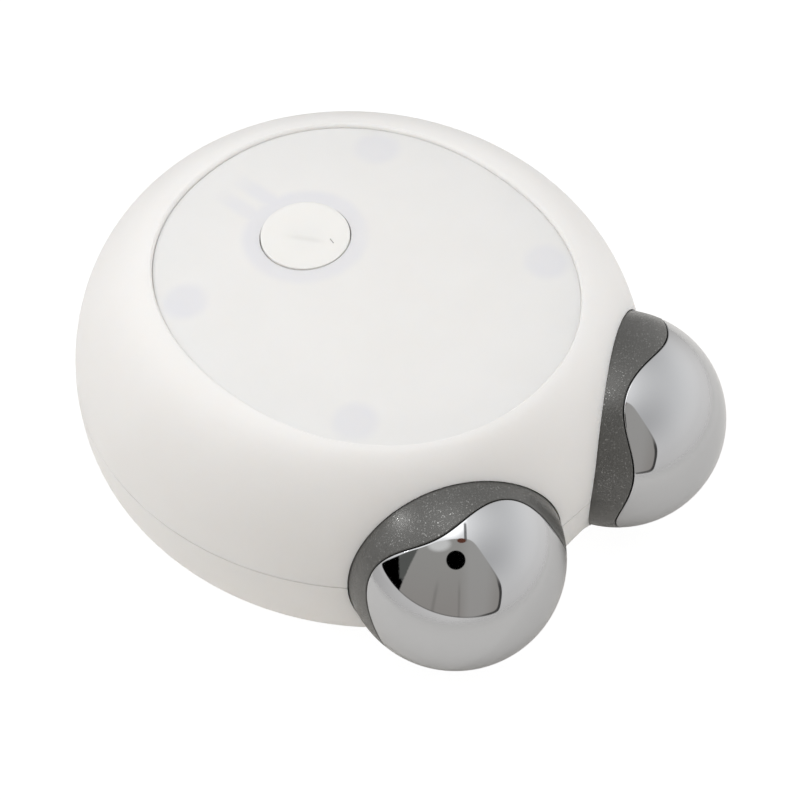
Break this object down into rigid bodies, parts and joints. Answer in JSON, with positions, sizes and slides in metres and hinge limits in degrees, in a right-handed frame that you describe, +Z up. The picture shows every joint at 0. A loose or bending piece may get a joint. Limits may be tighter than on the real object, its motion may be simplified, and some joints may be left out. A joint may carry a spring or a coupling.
{
  "type": "facial toning device",
  "caption": "Palm-sized pebble-shaped facial toning device with fixed chrome ball electrodes in wavy grey collars and a push button in its top panel.",
  "frame": {"origin": "on the resting face, under the middle of the parting line's outline", "axes": "+Z up from the resting face to the button's panel; -Y towards the ball electrodes; +X to the right-hand ball, seen from the rear"},
  "size_m": [0.0766, 0.0891, 0.0367],
  "materials": {
    "housing_white": "fine matte",
    "panel_white": "smooth satin, slightly translucent",
    "button_white": "fine satin",
    "collar_grey": "satin, fine grain",
    "electrode_chrome": "polished plating",
    "adhesive": "double-sided film",
    "board_green": "solder resist",
    "chip_black": "moulded epoxy",
    "switch_metal": "stamped",
    "plunger_black": "moulded",
    "transformer_core": "ferrite",
    "capacitor_can": "drawn can",
    "lamp_lens": "clear resin",
    "cell_foil": "laminated foil pouch",
    "foam_grey": "foam tape",
    "socket_steel": "plated shell",
    "screw_steel": "zinc plated",
    "terminal_brass": "tinned",
    "lead_red": "insulation",
    "lead_black": "insulation"
  },
  "bodies": {
    "housing": {"upper_housing": "housing_white", "lower_housing": "housing_white", "top_panel": "panel_white", "panel_adhesive": "adhesive", "housing_screws": "screw_steel", "circuit_board": "board_green", "board_screws": "screw_steel", "tact_switch": "switch_metal", "controller_chip": "chip_black", "driver_chip": "chip_black", "output_transformer": "transformer_core", "filter_capacitors": "capacitor_can", "status_leds": "lamp_lens", "battery_cell": "cell_foil", "battery_pad": "foam_grey", "battery_cable": "lead_red", "charging_socket": "socket_steel", "charge_board": "board_green", "charge_board_screws": "screw_steel", "charge_cable": "lead_black", "left_collar": "collar_grey", "left_electrode": "electrode_chrome", "left_terminal_ring": "terminal_brass", "left_electrode_screw": "screw_steel", "left_electrode_lead": "lead_black", "right_collar": "collar_grey", "right_electrode": "electrode_chrome", "right_terminal_ring": "terminal_brass", "right_electrode_screw": "screw_steel", "right_electrode_lead": "lead_red"},
    "button": {"power_button": "button_white", "button_arm": "button_white"},
    "plunger": {"switch_plunger": "plunger_black"}
  },
  "joints": [
    {"name": "button_press", "type": "hinge", "parent": "housing", "child": "button", "pos_m": [0, 0.0248, 0.03415], "axis": [1, 0, 0], "range_deg": [0, 1.47], "stiffness_Nm_per_rad": 1.2},
    {"name": "plunger_slide", "type": "slide", "parent": "housing", "child": "plunger", "axis": [0, 0, -1], "range_m": [0, 0.00042]}
  ],
  "couplings": [
    {"joint": "plunger_slide", "follows": "button_press", "m_per_rad": 0.0156}
  ]
}
